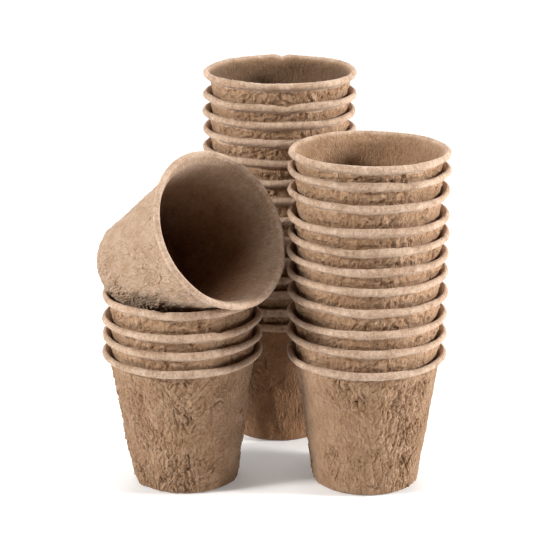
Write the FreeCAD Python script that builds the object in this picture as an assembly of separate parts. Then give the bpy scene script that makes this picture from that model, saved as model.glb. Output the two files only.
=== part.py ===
import FreeCAD, Part
import math
import os

# A set of round peat pots: three nested stacks, and one pot lying in the mouth of the left stack.
# Millimetres, +Z up, the origin on the floor under the middle of the set.

# One pot
rim_radius = 40.0
pot_height = 69.5
rim_bead_radius = 1.8
rim_breadth = 2.8
rim_overhang = 3.6
base_inset = 13.7
base_corner = 2.5
rim_neck = 1.3
mouth_flare = 4.5
floor_thickness = 1.8
open_wall = 1.4
drain_radius = 2.5

# How the pots nest
nest_step = 9.8
seat_clearance = 0.3
right_step_shares = (1.13, 1.01, 1.12, 1.10, 0.98, 0.98, 0.99, 1.23, 1.08, 0.85)
left_step_shares = (0.94, 0.90, 1.20)
back_step_shares = (0.84, 0.96, 0.86, 1.06, 1.08, 1.06, 1.07, 0.96, 1.04, 1.02, 0.95, 0.92, 1.13)

# Where the stacks stand
side_gap = 12.5
left_set_back = 2.5
back_set_back = 76.6
back_set_right = 2.7

# The pot on its side: how far its axis rises, how far it turns, and where its base lies in the mouth
tipped_rise = 28.6
tipped_turn = -44.3
tipped_place_shares = (-0.60, 0.41)
seat_tolerance = 0.004

mouth_radius = rim_radius - rim_breadth
wall_top_radius = rim_radius - rim_overhang
base_radius = rim_radius - base_inset
wall_slope = (wall_top_radius - base_radius) / (pot_height - 2 * rim_bead_radius - base_corner)
wall_angle = math.atan(wall_slope)
UP = FreeCAD.Vector(0, 0, 1)


def point(radius, height):
    """A point of the outline: distance from the pot's axis, height over its base."""
    return FreeCAD.Vector(radius, 0, height)


def wall_radius(height):
    """Radius of the outer cone at a height over the base."""
    return base_radius + wall_slope * (height - base_corner)


def wall_under(step):
    """Wall thickness that leaves the seat clearance when the next pot stands one step higher."""
    return step * math.sin(wall_angle) - seat_clearance


def rounded(corner, before, after, radius):
    """The two ends and the middle of the arc that rounds a corner between two points."""
    to_before = (before - corner).normalize()
    to_after = (after - corner).normalize()
    half = to_before.getAngle(to_after) / 2
    bisector = (to_before + to_after).normalize()
    centre = corner + bisector * (radius / math.sin(half))
    reach = radius / math.tan(half)
    return corner + to_before * reach, centre - bisector * radius, corner + to_after * reach


def pot(wall):
    """One pot standing on its base: a cone with a rolled rim, a flat floor and a drain hole."""
    across = wall / math.cos(wall_angle)
    neck_height = pot_height - 2 * rim_bead_radius
    bead_centre = point(rim_radius - rim_bead_radius, pot_height - rim_bead_radius)
    bead_under = bead_centre - UP * rim_bead_radius
    bead_top = bead_centre + UP * rim_bead_radius
    bead_side = bead_centre + point(rim_bead_radius, 0)
    wall_top = point(wall_radius(neck_height - rim_neck), neck_height - rim_neck)
    corner_start, corner_middle, corner_end = rounded(
        point(wall_radius(0), 0), point(0, 0), wall_top, base_corner)
    flare_low = point(wall_radius(pot_height - mouth_flare) - across, pot_height - mouth_flare)
    flare_high = point(mouth_radius, pot_height - rim_bead_radius / 2)
    inner_corner = point(wall_radius(floor_thickness) - across, floor_thickness)
    inner_start, inner_middle, inner_end = rounded(
        inner_corner, flare_low, point(0, floor_thickness), base_corner)
    edges = [
        Part.makeLine(point(drain_radius, 0), corner_start),
        Part.Arc(corner_start, corner_middle, corner_end).toShape(),
        Part.makeLine(corner_end, wall_top),
        Part.makeLine(wall_top, bead_under),
        Part.Arc(bead_under, bead_side, bead_top).toShape(),
        Part.makeLine(bead_top, flare_high),
        Part.makeLine(flare_high, flare_low),
        Part.makeLine(flare_low, inner_start),
        Part.Arc(inner_start, inner_middle, inner_end).toShape(),
        Part.makeLine(inner_end, point(drain_radius, floor_thickness)),
        Part.makeLine(point(drain_radius, floor_thickness), point(drain_radius, 0)),
    ]
    outline = Part.Face(Part.Wire(edges))
    return outline.revolve(point(0, 0), UP, 360)


def stack(name, step_shares, place):
    """Pots nested in each other from the floor up, each with the wall that its next step leaves."""
    pots = {}
    height = 0
    for number, share in enumerate(step_shares + (None,), start=1):
        step = share * nest_step if share else 0
        shape = pot(wall_under(step) if share else open_wall)
        shape.translate(place + UP * height)
        pots[name + "_pot_" + str(number)] = shape
        height = height + step
    return pots


def tipped_pot(holder, holder_place, rim_top):
    """The pot on its side, lowered into the holder's mouth until only the seat clearance is left."""
    shape = pot(open_wall)
    shape.rotate(point(0, 0), FreeCAD.Vector(0, 1, 0), 90 - tipped_rise)
    shape.rotate(point(0, 0), UP, tipped_turn)
    across_share, behind_share = tipped_place_shares
    over_rim = UP * (rim_top + rim_radius)
    shape.translate(holder_place + FreeCAD.Vector(across_share, behind_share, 0) * mouth_radius + over_rim)
    gap = shape.distToShape(holder)[0] - seat_clearance
    while gap > seat_tolerance:
        shape.translate(UP * -gap)
        gap = shape.distToShape(holder)[0] - seat_clearance
    return shape


def on_origin(pots):
    """The same pots moved so that the set's footprint is centred on the origin."""
    box = Part.makeCompound(list(pots.values())).optimalBoundingBox()
    middle = FreeCAD.Vector((box.XMin + box.XMax) / 2, (box.YMin + box.YMax) / 2, 0)
    for shape in pots.values():
        shape.translate(-middle)
    return pots


side_step = 2 * rim_radius + side_gap
right_place = FreeCAD.Vector(side_step / 2, 0, 0)
left_place = FreeCAD.Vector(-side_step / 2, left_set_back, 0)
back_place = FreeCAD.Vector(back_set_right, back_set_back, 0)

set_of_pots = stack("right", right_step_shares, right_place)
set_of_pots.update(stack("left", left_step_shares, left_place))
set_of_pots.update(stack("back", back_step_shares, back_place))
top_of_left = "left_pot_" + str(len(left_step_shares) + 1)
left_rim_top = pot_height + nest_step * sum(left_step_shares)
set_of_pots["tipped_pot"] = tipped_pot(set_of_pots[top_of_left], left_place, left_rim_top)

os.makedirs("parts", exist_ok=True)
for node, shape in on_origin(set_of_pots).items():
    shape.exportStep("parts/" + node + ".step")
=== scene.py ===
import math

import bpy
import numpy as np
from mathutils import Matrix, Vector


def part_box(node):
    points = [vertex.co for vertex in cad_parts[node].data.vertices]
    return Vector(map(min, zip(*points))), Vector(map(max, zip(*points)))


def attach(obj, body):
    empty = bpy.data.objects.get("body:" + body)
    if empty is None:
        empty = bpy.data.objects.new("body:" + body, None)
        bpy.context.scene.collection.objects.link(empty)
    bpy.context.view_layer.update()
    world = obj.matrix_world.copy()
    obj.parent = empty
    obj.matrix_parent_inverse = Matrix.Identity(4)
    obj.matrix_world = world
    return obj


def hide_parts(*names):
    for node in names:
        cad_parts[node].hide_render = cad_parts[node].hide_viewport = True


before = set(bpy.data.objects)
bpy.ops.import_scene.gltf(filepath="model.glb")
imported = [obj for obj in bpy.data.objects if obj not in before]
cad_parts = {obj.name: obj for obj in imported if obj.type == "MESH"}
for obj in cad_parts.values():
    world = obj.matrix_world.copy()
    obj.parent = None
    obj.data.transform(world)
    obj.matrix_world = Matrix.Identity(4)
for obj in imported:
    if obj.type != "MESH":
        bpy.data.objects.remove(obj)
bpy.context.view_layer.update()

# A set of peat pots: three nested stacks and one pot lying in the mouth of the left stack. Metres.

MM = 0.001
FULL_TURN = 2 * math.pi

# One pot, as the frame has it
RIM_RADIUS = 40.0 * MM
POT_HEIGHT = 69.5 * MM
BEAD_RADIUS = 1.8 * MM
MOUTH_RADIUS = 37.2 * MM
WALL_TOP_RADIUS = 36.4 * MM
BASE_RADIUS = 26.3 * MM
CORNER_RADIUS = 2.5 * MM
RIM_NECK = 1.3 * MM
MOUTH_FLARE = 4.5 * MM
FLOOR_THICKNESS = 1.8 * MM
OPEN_WALL = 1.4 * MM
DRAIN_RADIUS = 2.5 * MM
SEAT_CLEARANCE = 0.3 * MM
WALL_SLOPE = (WALL_TOP_RADIUS - BASE_RADIUS) / (POT_HEIGHT - 2 * BEAD_RADIUS - CORNER_RADIUS)
WALL_ANGLE = math.atan(WALL_SLOPE)

# The pot on its side
TIPPED_RISE = math.radians(28.6)
TIPPED_TURN = math.radians(-44.3)

# The zones of a pot's section
OUTSIDE, RIM, INSIDE = 0, 1, 2

# Mesh: columns round a pot and spacing up its section, finer where the wall shows
SHOWN_COLUMNS = 450
NESTED_COLUMNS = 204
SHOWN_BAND = 12.0 * MM
BAND_MARGIN = 3.0 * MM
BASE_MARGIN = 1.0 * MM
SHOWN_SPACING = 0.44 * MM
NESTED_SPACING = 0.56 * MM
HIDDEN_SPACING = 2.2 * MM
UNDER_SPACING = 3.0 * MM
NECK_SPACING = 0.6 * MM
LIP_SPACING = 0.5 * MM
FLARE_SPACING = 0.8 * MM
INNER_BAND_SPACING = 1.2 * MM
INNER_SPACING = 3.4 * MM
CORNER_POINTS = 9
BEAD_POINTS = 13
INNER_CORNER_POINTS = 6

# The even grid that noise is worked out on: its spacing up the section, and the pot's mean radius
NOISE_SPACING = 0.5 * MM
MEAN_RADIUS = 33.0 * MM

# Relief of the fibre, in millimetres: for each kind the width of its noise round the pot and up the wall, then
# its height; and how far all of it is sunk
PATCHES = (4.5, 6.5)
LUMPS = (2.0, 3.2, 0.18)
BROAD_LUMPS = (4.5, 6.0, 0.22)
FOLDS = (0.7, 1.0, 0.45)
RIDGES = (0.9, 1.4, 0.5)
CRUMBS = (0.38, 0.55, 0.24)
FLAKES = (0.7, 0.9, 0.132)
CREASES = (1.3, 3.2, 1.15)
CREASED = (2.2, 3.0)
PITS = (0.4, 0.5, 0.22)
MEAN_SINK = 0.09

# Shapes of the kinds, as noise values: where a fold, crumb or pit is cut off, what is taken off folds and
# crumbs so that they lie half in the wall, and how narrow a ridge or a crease is
FOLD_CUT = 1.2
CRUMB_CUT = 1.3
FOLD_MIDDLE = 0.6
RIDGE_WIDTH = 0.2
CREASE_WIDTH = 0.12
CREASED_FROM, CREASED_TO = 0.0, 0.8
FLAKE_STEEPNESS = 2.6
PIT_FROM, PIT_CUT = 1.2, 1.4
PATCH_EDGE = 0.9
LEAST_ROUGH, MORE_ROUGH = 0.5, 0.6
CALM_SHARE = 0.75

# How much of the relief is left in a zone, near the rim and at the base
RIM_RELIEF = 0.2
INSIDE_RELIEF = 0.05
SHOWN_RIM_CALM = 0.55
NESTED_RIM_CALM = 0.2
NEAR_RIM_LOW = 7.0 * MM
NEAR_RIM_HIGH = 2.5 * MM
INNER_RIM_LOW = 4.5 * MM
INNER_RIM_HIGH = 1.5 * MM
BASE_CALM = 0.8
BASE_CALM_HEIGHT = 1.5 * MM

# How far the relief may sink and rise where a pot stands inside another
HIDDEN_SINK = 0.35 * MM
HIDDEN_RISE = 0.06 * MM
HIDDEN_MARGIN = 1.0 * MM

# Waves and dents of the rim
WAVE_COUNT = 9
WAVE_FALL = 0.75
WAVE_LEAST = 0.2
WAVE_UP = 0.55 * MM
WAVE_OUT = 0.44 * MM
DENT_INWARDS = 0.6

# How far under the top the rim's paler pulp starts and is full, outside and in the mouth, and how deep in the
# mouth the painted shade of the inside is full
PALE_FROM, PALE_TO = 3.2 * MM, 2.2 * MM
LIP_FROM, LIP_TO = 2.0 * MM, 1.0 * MM
SHADE_DEPTH = 4.0 * MM
SHADE_DEPTHS = {"tipped_pot": 32.0 * MM}

# Dents of a pot's rim: degrees round it, depth, and width in degrees
DENTS = {
    "right_pot_10": ((-112, 0.7 * MM, 4), (-66, 0.6 * MM, 5)),
    "left_pot_4": ((-102, 0.9 * MM, 4),),
    "left_pot_3": ((-58, 0.9 * MM, 4),),
    "back_pot_14": ((88, 1.1 * MM, 3),),
    "back_pot_13": ((-86, 0.9 * MM, 5),),
    "tipped_pot": ((40, 0.6 * MM, 7),),
}

# How far a pot's base is set to the right, and the share of that inside, where the next pot stands
LEANS = {"left_pot_1": 1.1 * MM}
LEAN_INSIDE = 0.2

# Smoother strips up a pot's wall: degrees round it, and width in degrees
CALM_SPOTS = {
    "left_pot_1": ((-38, 30),),
    "right_pot_1": ((-150, 26), (2, 24)),
    "tipped_pot": ((125, 50),),
    "back_pot_1": ((-80, 55),),
}

# How rough a pot is, and how fine its relief, against the others
ROUGHNESS = {"tipped_pot": 0.65}
FINENESS = {"tipped_pot": 0.7}

# Colours of the pulp: light, dark, the rim's light, and what the inside is multiplied by as painted shade,
# more of it deeper in the mouth
PULP_LIGHT = (0.55, 0.373, 0.24)
PULP_DARK = (0.225, 0.106, 0.041)
RIM_LIGHT = (0.78, 0.615, 0.48)
# Painted shade: deep in the mouth, the inside colour is multiplied by this
PLAIN_INSIDE_SHADE = (0.86, 0.84, 0.82)
PULPS = {
    "pressed pulp": (PULP_LIGHT, PULP_DARK, RIM_LIGHT, PLAIN_INSIDE_SHADE),
    # The back stack's inside is darkened further: painted shade
    "pulp with painted shade inside": (PULP_LIGHT, PULP_DARK, RIM_LIGHT, (0.39, 0.36, 0.325)),
    # A darker copy of the pulp for the lowest front pots: painted shade where their walls are lit less
    "lowest pulp in painted shade": ((0.462, 0.31, 0.196), (0.195, 0.09, 0.034), RIM_LIGHT, PLAIN_INSIDE_SHADE),
    # A browner, darker copy for the lowest back pot: painted shadow from the front stacks, and painted shade
    # inside
    "brown pulp in painted shadow": ((0.34, 0.188, 0.096), (0.155, 0.066, 0.022), (0.6, 0.42, 0.29), (0.8, 0.78, 0.76)),
    # The pale pulp's inside colour is painted shade, at full strength 32 mm into the mouth
    "pale pulp": ((0.57, 0.43, 0.32), (0.26, 0.14, 0.065), (0.75, 0.59, 0.47), (0.6, 0.44, 0.3)),
}
STACK_PULPS = {"right": "pressed pulp", "left": "pressed pulp", "back": "pulp with painted shade inside"}
OTHER_PULPS = {"right_pot_1": "lowest pulp in painted shade", "left_pot_1": "lowest pulp in painted shade", "back_pot_1": "brown pulp in painted shadow",
               "tipped_pot": "pale pulp"}
PULP_SURFACE = {"Specular IOR Level": 0.25, "Sheen Weight": 0.12, "Sheen Roughness": 0.5}
RIM_PALENESS = 0.9
BUMP_DISTANCE = 0.5 * MM

# The pulp's fine textures, with scales in cells per metre
FIBRE_STRETCH = (1, 1, 0.45)
MOTTLE = {"Scale": 110, "Detail": 5, "Roughness": 0.65}
GRAIN = {"Scale": 1500, "Detail": 2, "Roughness": 0.6}
FIBRES = {"Scale": 650, "Detail": 2, "Roughness": 0.55, "Distortion": 0.8}
PIT_CELLS = {"Scale": 620, "Randomness": 1}

# What a texture or the relief turns into: its low and high value, and the result at each
MOTTLE_TONE = (0.3, 0.7, 0.25, 0.6)
GRAIN_TONE = (0.3, 0.7, -0.15, 0.15)
FIBRE_TONE = (0.35, 0.65, -0.12, 0.12)
# The relief's tone is painted shade in its hollows and painted light on its ridges
RELIEF_SHADE_TONE = (-0.9, 0.3, -0.32, 0.12)
PIT_DEPTH = (0.0, 0.32, -1.0, 0.0)
GRAIN_ROUGHNESS = (0.3, 0.7, 0.96, 0.8)

# Shares of the fine height, and how much less rough the rim is
GRAIN_SHARE = 0.35
FIBRE_MIDDLE = 0.5
WALL_FIBRE_SHARE, RIM_FIBRE_SHARE = 3.0, 0.6
PIT_SHARE = 0.3
RELIEF_SHARE = 1.4
RIM_SMOOTHNESS = -0.1

# Sockets of a colour Mix node, which share their names with its other kinds
MIX_A, MIX_B, MIX_RESULT = 6, 7, 2

# Seeds of the stacks and of the pot on its side
STACK_SEEDS = {"right": 100, "left": 200, "back": 300}
TIPPED_SEED = 400

# The camera of the photograph
CAMERA_PLACE = (1.1 * MM, -1059.0 * MM, 411.0 * MM)
CAMERA_PITCH = math.radians(16.44)
CAMERA_LENS = 141.4
SENSOR_WIDTH = 36

# The studio: each light's place, the point that it faces, its size, power and colour
MIDDLE = (0, 0, 0.09)
LIGHTS = {
    "key_left": ((-1.08, -0.47, 0.7), MIDDLE, 0.22, 18.3, (1.0, 0.99, 0.97)),
    "side_right": ((1.17, -0.18, 0.48), MIDDLE, 0.22, 21, (1.0, 0.99, 0.98)),
    "above": ((0.05, 0.0, 1.3), MIDDLE, 0.5, 8.0, (1.0, 1.0, 1.0)),
    "backdrop": ((0, 2.2, 1.6), (0, 1.6, 0), 2.0, 42, (1.0, 1.0, 1.0)),
}
FLOOR_HALF = 4.0
FLOOR_TONE = 0.86
FLOOR_ROUGHNESS = 0.9
FLOOR_GLOW = 0.2
SKY_GLOW = 0.03


# Outline of a pot

def arc(centre, radius, start, end, count):
    """Points of a circle's arc: centre plus radius times (cos, sin) of an even run of angles, in degrees."""
    angles = np.radians(np.linspace(start, end, count))
    return np.stack([centre[0] + radius * np.cos(angles), centre[1] + radius * np.sin(angles)], 1)


def run(start, end, spacing):
    """Points of a straight run from start up to, not including, its end, about one spacing apart."""
    start = np.asarray(start, float)
    end = np.asarray(end, float)
    count = max(1, round(float(np.linalg.norm(end - start)) / spacing))
    share = np.arange(count)[:, None] / count
    return start + (end - start) * share


def wall_radius(height):
    """Radius of the outer cone at a height over the base."""
    return BASE_RADIUS + WALL_SLOPE * (height - CORNER_RADIUS)


def outline(wall, shown_from, fine):
    """The pot's closed section from the drain hole out under the base, up the outer wall, over the rim and
    down the inside: an array of (radius, height), and the zone that each point lies in. The outer wall is
    finely divided from the height shown_from up, coarsely under it."""
    across = wall / math.cos(WALL_ANGLE)
    neck = POT_HEIGHT - 2 * BEAD_RADIUS
    tilt = math.degrees(WALL_ANGLE)
    bead = (RIM_RADIUS - BEAD_RADIUS, POT_HEIGHT - BEAD_RADIUS)
    corner_out = (BASE_RADIUS - CORNER_RADIUS, CORNER_RADIUS)
    low_wall = (wall_radius(CORNER_RADIUS), CORNER_RADIUS)
    shown = (wall_radius(shown_from), shown_from)
    wall_top = (wall_radius(neck - RIM_NECK), neck - RIM_NECK)
    under_rim = (bead[0], bead[1] - BEAD_RADIUS)
    flare_low = (wall_radius(POT_HEIGHT - MOUTH_FLARE) - across, POT_HEIGHT - MOUTH_FLARE)
    flare_high = (MOUTH_RADIUS, POT_HEIGHT - BEAD_RADIUS / 2)
    top_in = POT_HEIGHT - SHOWN_BAND
    inner_top = (wall_radius(top_in) - across, top_in)
    inner_height = FLOOR_THICKNESS + CORNER_RADIUS
    inner_low = (wall_radius(inner_height) - across, inner_height)
    corner_in = (inner_low[0] - CORNER_RADIUS, inner_height)
    pieces = [
        (OUTSIDE, run((DRAIN_RADIUS, 0), (corner_out[0], 0), UNDER_SPACING)),
        (OUTSIDE, arc(corner_out, CORNER_RADIUS, -90, -tilt, CORNER_POINTS)[:-1]),
        (OUTSIDE, run(low_wall, shown, HIDDEN_SPACING)),
        (OUTSIDE, run(shown, wall_top, fine)),
        (RIM, run(wall_top, under_rim, NECK_SPACING)),
        (RIM, arc(bead, BEAD_RADIUS, -90, 90, BEAD_POINTS)[:-1]),
        (RIM, run((bead[0], POT_HEIGHT), flare_high, LIP_SPACING)),
        (INSIDE, run(flare_high, flare_low, FLARE_SPACING)),
        (INSIDE, run(flare_low, inner_top, INNER_BAND_SPACING)),
        (INSIDE, run(inner_top, inner_low, INNER_SPACING)),
        (INSIDE, arc(corner_in, CORNER_RADIUS, 0, -90, INNER_CORNER_POINTS)[:-1]),
        (INSIDE, run((corner_in[0], FLOOR_THICKNESS), (DRAIN_RADIUS, FLOOR_THICKNESS), INNER_SPACING)),
        (INSIDE, run((DRAIN_RADIUS, FLOOR_THICKNESS), (DRAIN_RADIUS, 0), FLOOR_THICKNESS)),
    ]
    points = np.concatenate([piece for zone, piece in pieces])
    zones = np.concatenate([np.full(len(piece), zone) for zone, piece in pieces])
    return points, zones


def section_normals(points):
    """Unit normals of the closed section, turned out of the material."""
    along = np.roll(points, -1, 0) - np.roll(points, 1, 0)
    normals = np.stack([along[:, 1], -along[:, 0]], 1)
    return normals / np.linalg.norm(normals, axis=1, keepdims=True)


# Relief of the pressed fibre

def smooth_noise(rng, columns, length, around, along):
    """Random numbers on an even grid, smoothed by a Gaussian of width around (metres, round the pot) and
    along (metres, up the section) in the frequency domain, and scaled to mean 0, deviation 1."""
    rows = int(length / NOISE_SPACING) + 2
    across = np.fft.fftfreq(columns, FULL_TURN * MEAN_RADIUS / columns)[:, None]
    up = np.fft.fftfreq(rows, NOISE_SPACING)[None, :]
    keep = np.exp(-2 * (math.pi * across * around) ** 2 - 2 * (math.pi * up * along) ** 2)
    field = np.fft.ifft2(np.fft.fft2(rng.standard_normal((columns, rows))) * keep).real
    return (field - field.mean()) / field.std()


def on_section(field, travelled):
    """The grid's rows read off, by straight blending, at the distances travelled along the section."""
    place = travelled / NOISE_SPACING
    low = place.astype(int)
    part = place - low
    return field[:, low] * (1 - part) + field[:, low + 1] * part


def step_up(values, low, high):
    """0 under low, 1 over high, and a smooth s-curve between."""
    share = np.clip((values - low) / (high - low), 0, 1)
    return share * share * (3 - 2 * share)


def bell(degrees, centre, width):
    """A Gaussian bell round the pot: 1 at the centre, and narrow or broad by its width, all in degrees."""
    away = (degrees - centre + 180) % 360 - 180
    return np.exp(-(away / width) ** 2)


def wall_relief(rng, columns, travelled, node):
    """Two heights of the fibre over the smooth cone, in metres: the broad lumps, and the roughness on them.
    Folds and crumbs are the size of a noise, so that each line where the noise crosses zero is a crease;
    ridges and creases follow the lines where a noise crosses zero; flakes have steep edges; pits lie where
    a fine noise peaks. The roughness is strongest in patches where a broad noise is high, and fades in the
    pot's calm spots."""
    length = float(travelled[-1])
    fineness = FINENESS.get(node, 1.0) * MM

    def noise(kind):
        around, along = kind[0] * fineness, kind[1] * fineness
        return on_section(smooth_noise(rng, columns, length, around, along), travelled)

    patches = LEAST_ROUGH + MORE_ROUGH * step_up(noise(PATCHES), -PATCH_EDGE, PATCH_EDGE)
    degrees = np.linspace(0, 360, columns, endpoint=False)
    for centre, width in CALM_SPOTS.get(node, ()):
        patches = patches * (1 - CALM_SHARE * bell(degrees, centre, width))[:, None]
    lumps = LUMPS[2] * noise(LUMPS) + BROAD_LUMPS[2] * noise(BROAD_LUMPS)
    folds = FOLDS[2] * (np.minimum(np.abs(noise(FOLDS)), FOLD_CUT) - FOLD_MIDDLE)
    ridges = RIDGES[2] * np.exp(-(noise(RIDGES) / RIDGE_WIDTH) ** 2)
    crumbs = CRUMBS[2] * (np.minimum(np.abs(noise(CRUMBS)), CRUMB_CUT) - FOLD_MIDDLE)
    flakes = FLAKES[2] * np.tanh(FLAKE_STEEPNESS * noise(FLAKES))
    creases = CREASES[2] * np.exp(-(noise(CREASES) / CREASE_WIDTH) ** 2)
    creases = creases * step_up(noise(CREASED), CREASED_FROM, CREASED_TO)
    pits = PITS[2] * np.clip(noise(PITS) - PIT_FROM, 0, PIT_CUT)
    rough = folds + ridges + crumbs + flakes - creases - pits - MEAN_SINK
    return MM * lumps, MM * ROUGHNESS.get(node, 1.0) * patches * rough


def rim_waves(rng, angles):
    """Waves of the rim round the pot, in metres up and out: a sum of the first harmonics with random phases
    and weights that fall with the harmonic, scaled to its greatest height."""
    harmonics = np.arange(1, WAVE_COUNT + 1)[:, None]
    size = 1 / harmonics ** WAVE_FALL
    phase_up = rng.uniform(0, FULL_TURN, (WAVE_COUNT, 1))
    phase_out = rng.uniform(0, FULL_TURN, (WAVE_COUNT, 1))
    weight_up = rng.uniform(WAVE_LEAST, 1.0, (WAVE_COUNT, 1))
    weight_out = rng.uniform(WAVE_LEAST, 1.0, (WAVE_COUNT, 1))
    up = (weight_up * size * np.cos(harmonics * angles + phase_up)).sum(0)
    out = (weight_out * size * np.cos(harmonics * angles + phase_out)).sum(0)
    return WAVE_UP * up / np.abs(up).max(), WAVE_OUT * out / np.abs(out).max()


def pot_piece(node, seed, wall, hidden_to, shown_whole, place):
    """A pot as one closed grid: the section turned round the axis, pushed along its normals by the relief
    and, near the rim, moved by the rim's waves and dents. hidden_to is the height up to which the pot
    stands inside the one under it, where the relief is kept small. The attribute pot_place holds each
    point's place on the plain pot, and pot_marks how much it is rim, how much painted shade it gets inside
    the mouth, and its roughness in millimetres."""
    rng = np.random.default_rng(seed)
    columns = SHOWN_COLUMNS if shown_whole else NESTED_COLUMNS
    fine = SHOWN_SPACING if shown_whole else NESTED_SPACING
    shown_from = CORNER_RADIUS + BASE_MARGIN if shown_whole else POT_HEIGHT - SHOWN_BAND - BAND_MARGIN
    points, zones = outline(wall, shown_from, fine)
    gaps = np.linalg.norm(np.diff(points, axis=0), axis=1)
    travelled = np.concatenate([[0.0], np.cumsum(gaps)])
    angles = np.linspace(0, FULL_TURN, columns, endpoint=False)
    normals = section_normals(points)
    radius, height = points[:, 0], points[:, 1]

    lumps, rough = wall_relief(rng, columns, travelled, node)
    outside, inside = zones == OUTSIDE, zones == INSIDE
    near_rim = np.where(inside, step_up(height, POT_HEIGHT - INNER_RIM_LOW, POT_HEIGHT - INNER_RIM_HIGH),
                        step_up(height, POT_HEIGHT - NEAR_RIM_LOW, POT_HEIGHT - NEAR_RIM_HIGH))
    rim_calm = SHOWN_RIM_CALM if shown_whole else NESTED_RIM_CALM
    left = np.where(outside, 1 - rim_calm * near_rim, np.where(zones == RIM, RIM_RELIEF, INSIDE_RELIEF))
    rough = rough * left
    relief = lumps * left + rough
    hidden = outside & (height < hidden_to + HIDDEN_MARGIN)
    relief = np.where(hidden, np.clip(relief, -HIDDEN_SINK, HIDDEN_RISE), relief)
    at_base = BASE_CALM * (1 - step_up(height, 0, BASE_CALM_HEIGHT))
    relief = np.where(outside, relief * (1 - at_base), relief)

    wave_up, wave_out = rim_waves(rng, angles)
    hollow = np.zeros(columns)
    for centre, depth, width in DENTS.get(node, ()):
        hollow = hollow + depth * bell(np.degrees(angles), centre, width)
    lift = (wave_up - hollow)[:, None] * near_rim
    spread = (wave_out - DENT_INWARDS * hollow)[:, None] * near_rim
    at_radius = radius + relief * normals[:, 0] + spread
    at_height = height + relief * normals[:, 1] + lift
    cos, sin = np.cos(angles)[:, None], np.sin(angles)[:, None]
    leant = LEANS.get(node, 0.0) * (1 - step_up(height, 0, POT_HEIGHT)) * np.where(inside, LEAN_INSIDE, 1.0)
    local = np.stack([at_radius * cos + leant, at_radius * sin, at_height], -1)
    verts = local.reshape(-1, 3) @ np.array(place.to_3x3()).T + np.array(place.translation)

    grid = (columns, len(points))
    mesh = grid_mesh(node + "_fibre", verts, grid)
    plain = np.stack([radius * cos, radius * sin, np.broadcast_to(height, grid)], -1)
    put_attribute(mesh, "pot_place", plain + rng.uniform(-1, 1, 3))
    pale = step_up(height, POT_HEIGHT - PALE_FROM, POT_HEIGHT - PALE_TO)
    pale_lip = step_up(height, POT_HEIGHT - LIP_FROM, POT_HEIGHT - LIP_TO)
    rim = np.select([zones == RIM, inside], [1.0, pale_lip], pale)
    # Painted shade inside the mouth: none at the top, full from the shade depth down
    inside_shade = np.where(inside, step_up(POT_HEIGHT - height, 0, SHADE_DEPTHS.get(node, SHADE_DEPTH)), 0.0)
    marks = [np.broadcast_to(rim, grid), np.broadcast_to(inside_shade, grid), rough / MM]
    put_attribute(mesh, "pot_marks", np.stack(marks, -1))
    piece = bpy.data.objects.new(node + "_fibre", mesh)
    bpy.context.collection.objects.link(piece)
    return piece


def grid_mesh(name, verts, grid):
    """A closed mesh of four-sided faces over a grid that runs round on itself in both directions."""
    here = np.arange(grid[0] * grid[1]).reshape(grid)
    right = np.roll(here, -1, 0)
    faces = np.stack([here, right, np.roll(right, -1, 1), np.roll(here, -1, 1)], -1).reshape(-1, 4)
    mesh = bpy.data.meshes.new(name)
    mesh.from_pydata(verts, [], faces)
    mesh.shade_smooth()
    return mesh


def put_attribute(mesh, name, values):
    """Stores an array of vectors, one per point, under a name that the materials read."""
    attribute = mesh.attributes.new(name, "FLOAT_VECTOR", "POINT")
    attribute.data.foreach_set("vector", np.ascontiguousarray(values, dtype=np.float32).ravel())


# Materials

def add_node(tree, kind, values=(), **settings):
    """A shader node with its settings and its unlinked input values."""
    node = tree.nodes.new(kind)
    for key, value in settings.items():
        setattr(node, key, value)
    for key, value in dict(values).items():
        node.inputs[key].default_value = value
    return node


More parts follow.
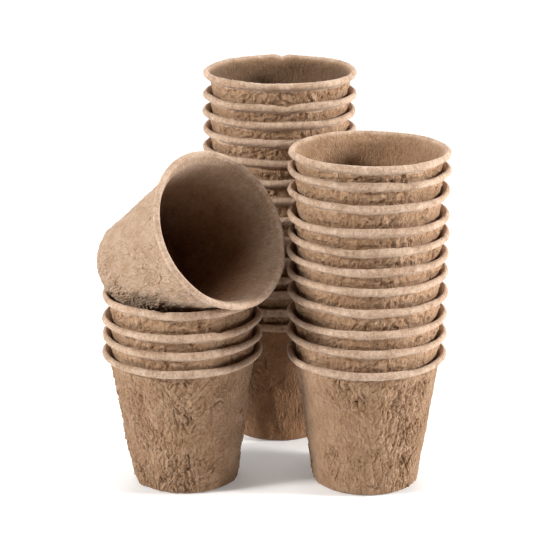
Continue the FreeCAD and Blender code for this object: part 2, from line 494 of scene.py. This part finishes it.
def fibre_group():
    """Node group: the fine look of pressed pulp. Mottled colour from two noises and short fibres, with painted
    shade in the relief's hollows and painted light on its ridges; a height of grain, short fibres, pits and
    the relief once more; and a roughness that follows the grain and is lower on the smooth rim."""
    group = bpy.data.node_groups.new("pressed fibre", "ShaderNodeTree")
    for way, name, kind in (("INPUT", "Place", "Vector"), ("INPUT", "Relief", "Float"),
                            ("INPUT", "Smooth", "Float"), ("INPUT", "Light", "Color"),
                            ("INPUT", "Dark", "Color"), ("OUTPUT", "Color", "Color"),
                            ("OUTPUT", "Height", "Float"), ("OUTPUT", "Roughness", "Float")):
        group.interface.new_socket(name, in_out=way, socket_type="NodeSocket" + kind)
    link = group.links.new
    inputs = add_node(group, "NodeGroupInput").outputs
    outputs = add_node(group, "NodeGroupOutput").inputs
    stretched = add_node(group, "ShaderNodeMapping", {"Scale": FIBRE_STRETCH})
    mottle = add_node(group, "ShaderNodeTexNoise", MOTTLE)
    grain = add_node(group, "ShaderNodeTexNoise", GRAIN)
    fibres = add_node(group, "ShaderNodeTexNoise", FIBRES)
    pits = add_node(group, "ShaderNodeTexVoronoi", PIT_CELLS)
    for texture in (stretched, mottle, grain, pits):
        link(inputs["Place"], texture.inputs["Vector"])
    link(stretched.outputs["Vector"], fibres.inputs["Vector"])

    def spread(source, limits):
        names = ("From Min", "From Max", "To Min", "To Max")
        node = add_node(group, "ShaderNodeMapRange", dict(zip(names, limits)))
        link(source, node.inputs["Value"])
        return node.outputs["Result"]

    def maths(operation, first, second):
        node = add_node(group, "ShaderNodeMath", operation=operation)
        for socket, value in zip(node.inputs, (first, second)):
            if isinstance(value, (int, float)):
                socket.default_value = value
            else:
                link(value, socket)
        return node.outputs[0]

    def total(*terms):
        result = terms[0]
        for term in terms[1:]:
            result = maths("ADD", result, term)
        return result

    # Mottle, grain and fibres give the pulp's own tone; the relief's term is painted shade in hollows and
    # painted light on ridges
    tone = total(spread(mottle.outputs["Fac"], MOTTLE_TONE),
                 spread(grain.outputs["Fac"], GRAIN_TONE),
                 spread(fibres.outputs["Fac"], FIBRE_TONE),
                 spread(inputs["Relief"], RELIEF_SHADE_TONE))
    blend = add_node(group, "ShaderNodeMix", data_type="RGBA", clamp_factor=True)
    link(tone, blend.inputs["Factor"])
    link(inputs["Dark"], blend.inputs[MIX_A])
    link(inputs["Light"], blend.inputs[MIX_B])
    link(blend.outputs[MIX_RESULT], outputs["Color"])

    hole = spread(pits.outputs["Distance"], PIT_DEPTH)
    rough = maths("SUBTRACT", 1.0, inputs["Smooth"])
    strand = maths("ABSOLUTE", maths("SUBTRACT", fibres.outputs["Fac"], FIBRE_MIDDLE), 0.0)
    strand_height = maths("ADD", maths("MULTIPLY", rough, WALL_FIBRE_SHARE), RIM_FIBRE_SHARE)
    link(total(maths("MULTIPLY", grain.outputs["Fac"], GRAIN_SHARE),
               maths("MULTIPLY", strand, strand_height),
               maths("MULTIPLY", hole, maths("MULTIPLY", rough, PIT_SHARE)),
               maths("MULTIPLY", inputs["Relief"], RELIEF_SHARE)), outputs["Height"])
    link(total(spread(grain.outputs["Fac"], GRAIN_ROUGHNESS),
               maths("MULTIPLY", inputs["Smooth"], RIM_SMOOTHNESS)), outputs["Roughness"])
    return group


def pulp_material(name, group, light, dark, rim_light, inside):
    """Dry pulp: the fibre group's colour, a paler and smoother rim, an inside darkened deeper in the mouth as
    painted shade, and the group's height as a bump."""
    material = bpy.data.materials.new(name)
    material.use_nodes = True
    tree = material.node_tree
    tree.nodes.clear()
    link = tree.links.new
    place = add_node(tree, "ShaderNodeAttribute", attribute_name="pot_place")
    marks = add_node(tree, "ShaderNodeAttribute", attribute_name="pot_marks")
    parts = add_node(tree, "ShaderNodeSeparateXYZ")
    fibre = add_node(tree, "ShaderNodeGroup", node_tree=group)
    rim_mix = add_node(tree, "ShaderNodeMix", {MIX_A: (*light, 1), MIX_B: (*rim_light, 1)}, data_type="RGBA")
    # Painted shade: the colour is multiplied by the inside colour as far as pot_marks' second value goes
    shaded = add_node(tree, "ShaderNodeMix", {MIX_B: (*inside, 1)}, data_type="RGBA", blend_type="MULTIPLY")
    paleness = add_node(tree, "ShaderNodeMath", {1: RIM_PALENESS}, operation="MULTIPLY")
    bumped = add_node(tree, "ShaderNodeBump", {"Strength": 1.0, "Distance": BUMP_DISTANCE})
    shader = add_node(tree, "ShaderNodeBsdfPrincipled", PULP_SURFACE)
    output = add_node(tree, "ShaderNodeOutputMaterial")
    fibre.inputs["Dark"].default_value = (*dark, 1)
    link(marks.outputs["Vector"], parts.inputs["Vector"])
    link(parts.outputs["X"], paleness.inputs[0])
    link(paleness.outputs[0], rim_mix.inputs["Factor"])
    link(parts.outputs["Y"], shaded.inputs["Factor"])
    link(rim_mix.outputs[MIX_RESULT], fibre.inputs["Light"])
    link(place.outputs["Vector"], fibre.inputs["Place"])
    link(parts.outputs["Z"], fibre.inputs["Relief"])
    link(parts.outputs["X"], fibre.inputs["Smooth"])
    link(fibre.outputs["Color"], shaded.inputs[MIX_A])
    link(shaded.outputs[MIX_RESULT], shader.inputs["Base Color"])
    link(fibre.outputs["Roughness"], shader.inputs["Roughness"])
    link(fibre.outputs["Height"], bumped.inputs["Height"])
    link(bumped.outputs["Normal"], shader.inputs["Normal"])
    link(shader.outputs["BSDF"], output.inputs["Surface"])
    return material


def floor_material():
    """A matt pale floor that glows a little, so that it stays pale away from the lights."""
    material = bpy.data.materials.new("pale floor")
    material.use_nodes = True
    shader = material.node_tree.nodes["Principled BSDF"]
    shader.inputs["Base Color"].default_value = (FLOOR_TONE, FLOOR_TONE, FLOOR_TONE, 1)
    shader.inputs["Roughness"].default_value = FLOOR_ROUGHNESS
    shader.inputs["Emission Color"].default_value = (1, 1, 1, 1)
    shader.inputs["Emission Strength"].default_value = FLOOR_GLOW
    return material


# The set

def upright_place(node):
    """A pot's own frame where it stands upright: the middle of its box, on its base."""
    low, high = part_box(node)
    return Matrix.Translation(((low[0] + high[0]) / 2, (low[1] + high[1]) / 2, low[2]))


def tipped_place(node):
    """The frame of the pot on its side: its axis from the rise and the turn, its base centre from the box,
    whose far corner touches the rim's ring."""
    low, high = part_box(node)
    axis = Vector((math.cos(TIPPED_RISE) * math.cos(TIPPED_TURN),
                   math.cos(TIPPED_RISE) * math.sin(TIPPED_TURN), math.sin(TIPPED_RISE)))
    side = Vector((-math.sin(TIPPED_TURN), math.cos(TIPPED_TURN), 0))
    over = axis.cross(side)
    ring = RIM_RADIUS - BEAD_RADIUS
    reach = [ring * math.hypot(side[k], over[k]) + BEAD_RADIUS for k in range(3)]
    centre = Vector((high[0] - reach[0], low[1] + reach[1], high[2] - reach[2]))
    base = centre - axis * (POT_HEIGHT - BEAD_RADIUS)
    turned = Matrix((side, over, axis)).transposed().to_4x4()
    return Matrix.Translation(base) @ turned


def dress(piece, node, material):
    """Puts a finished pot in its node's place."""
    piece.data.materials.append(material)
    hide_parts(node)
    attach(piece, node)


def dress_stack(name, pulps):
    """The pots of one stack from the floor up. Each pot's wall follows from the step to the pot above it, as
    it does in the frame."""
    count = sum(node.startswith(name + "_pot_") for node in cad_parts)
    nodes = [name + "_pot_" + str(number) for number in range(1, count + 1)]
    bases = [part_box(node)[0][2] for node in nodes]
    for number, node in enumerate(nodes):
        wall, hidden_to = OPEN_WALL, 0.0
        if number + 1 < count:
            wall = (bases[number + 1] - bases[number]) * math.sin(WALL_ANGLE) - SEAT_CLEARANCE
        if number > 0:
            hidden_to = POT_HEIGHT - (bases[number] - bases[number - 1])
        seed = STACK_SEEDS[name] + number
        piece = pot_piece(node, seed, wall, hidden_to, number == 0, upright_place(node))
        dress(piece, node, pulps[OTHER_PULPS.get(node, STACK_PULPS[name])])


def area_light(name, place, target, size, energy, colour):
    """A square soft light at a place, turned to face a target."""
    light = bpy.data.lights.new(name, "AREA")
    light.energy = energy
    light.size = size
    light.color = colour
    lamp = bpy.data.objects.new(name, light)
    lamp.location = place
    lamp.rotation_euler = (Vector(target) - Vector(place)).to_track_quat("-Z", "Y").to_euler()
    bpy.context.collection.objects.link(lamp)


def studio():
    """The pale floor, a soft light on each side, a weak one above, one for the floor behind the set, and a
    weak even fill."""
    mesh = bpy.data.meshes.new("floor")
    corners = [(x * FLOOR_HALF, y * FLOOR_HALF, 0) for x, y in ((-1, -1), (1, -1), (1, 1), (-1, 1))]
    mesh.from_pydata(corners, [], [(0, 1, 2, 3)])
    ground = bpy.data.objects.new("floor", mesh)
    mesh.materials.append(floor_material())
    bpy.context.collection.objects.link(ground)
    for name, settings in LIGHTS.items():
        area_light(name, *settings)
    world = bpy.data.worlds.new("studio")
    world.use_nodes = True
    world.node_tree.nodes["Background"].inputs["Color"].default_value = (1, 1, 1, 1)
    world.node_tree.nodes["Background"].inputs["Strength"].default_value = SKY_GLOW
    bpy.context.scene.world = world
    bpy.context.scene.view_settings.view_transform = "Standard"


def camera():
    """The camera of the photograph: in front of the set, looking down a little."""
    data = bpy.data.cameras.new("camera")
    data.lens = CAMERA_LENS
    data.sensor_width = SENSOR_WIDTH
    view = bpy.data.objects.new("camera", data)
    view.location = CAMERA_PLACE
    view.rotation_euler = (math.pi / 2 - CAMERA_PITCH, 0, 0)
    bpy.context.collection.objects.link(view)
    bpy.context.scene.camera = view


camera()
studio()
fibre = fibre_group()
pulps = {name: pulp_material(name, fibre, *colours) for name, colours in PULPS.items()}
for stack in STACK_SEEDS:
    dress_stack(stack, pulps)
tipped = pot_piece("tipped_pot", TIPPED_SEED, OPEN_WALL, 0.0, True, tipped_place("tipped_pot"))
dress(tipped, "tipped_pot", pulps[OTHER_PULPS["tipped_pot"]])
